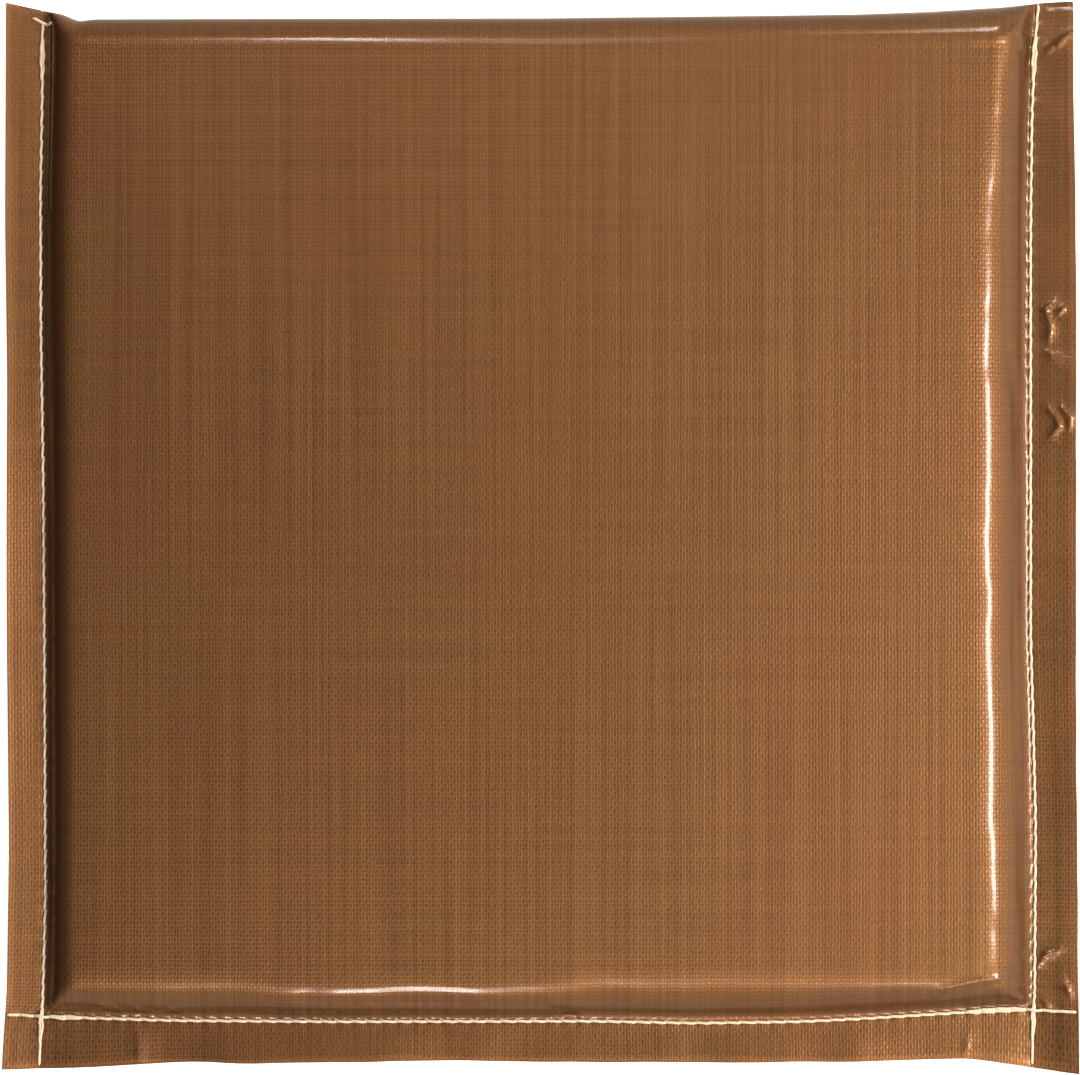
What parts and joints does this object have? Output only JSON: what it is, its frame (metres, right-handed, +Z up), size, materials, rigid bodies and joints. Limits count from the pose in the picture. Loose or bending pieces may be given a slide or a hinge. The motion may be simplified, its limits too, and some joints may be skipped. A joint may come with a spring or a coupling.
{
  "type": "heat press pillow",
  "caption": "Flat square pad: a foam slab sewn into a folded sheet of non-stick coated glass cloth, with flat seam margins on three sides.",
  "frame": {"origin": "middle of the pillow's rectangular outline, on the face that it lies on", "axes": "+Z up through the pillow's thickness, +Y towards the folded edge, +X towards the wider side margin, on the right when the folded edge is at the top"},
  "size_m": [0.2052, 0.2044, 0.0111],
  "materials": {
    "coated_cloth": "plain-woven glass cloth under a smooth brown non-stick coating, semi-gloss",
    "foam": "open-cell foam, matte",
    "thread": "cream twisted heat-proof thread, low sheen"
  },
  "bodies": {
    "root": {"cover": "coated_cloth", "foam_core": "foam", "left_needle_thread": "thread", "left_bobbin_thread": "thread", "right_needle_thread": "thread", "right_bobbin_thread": "thread", "front_needle_thread": "thread", "front_bobbin_thread": "thread"}
  },
  "joints": []
}
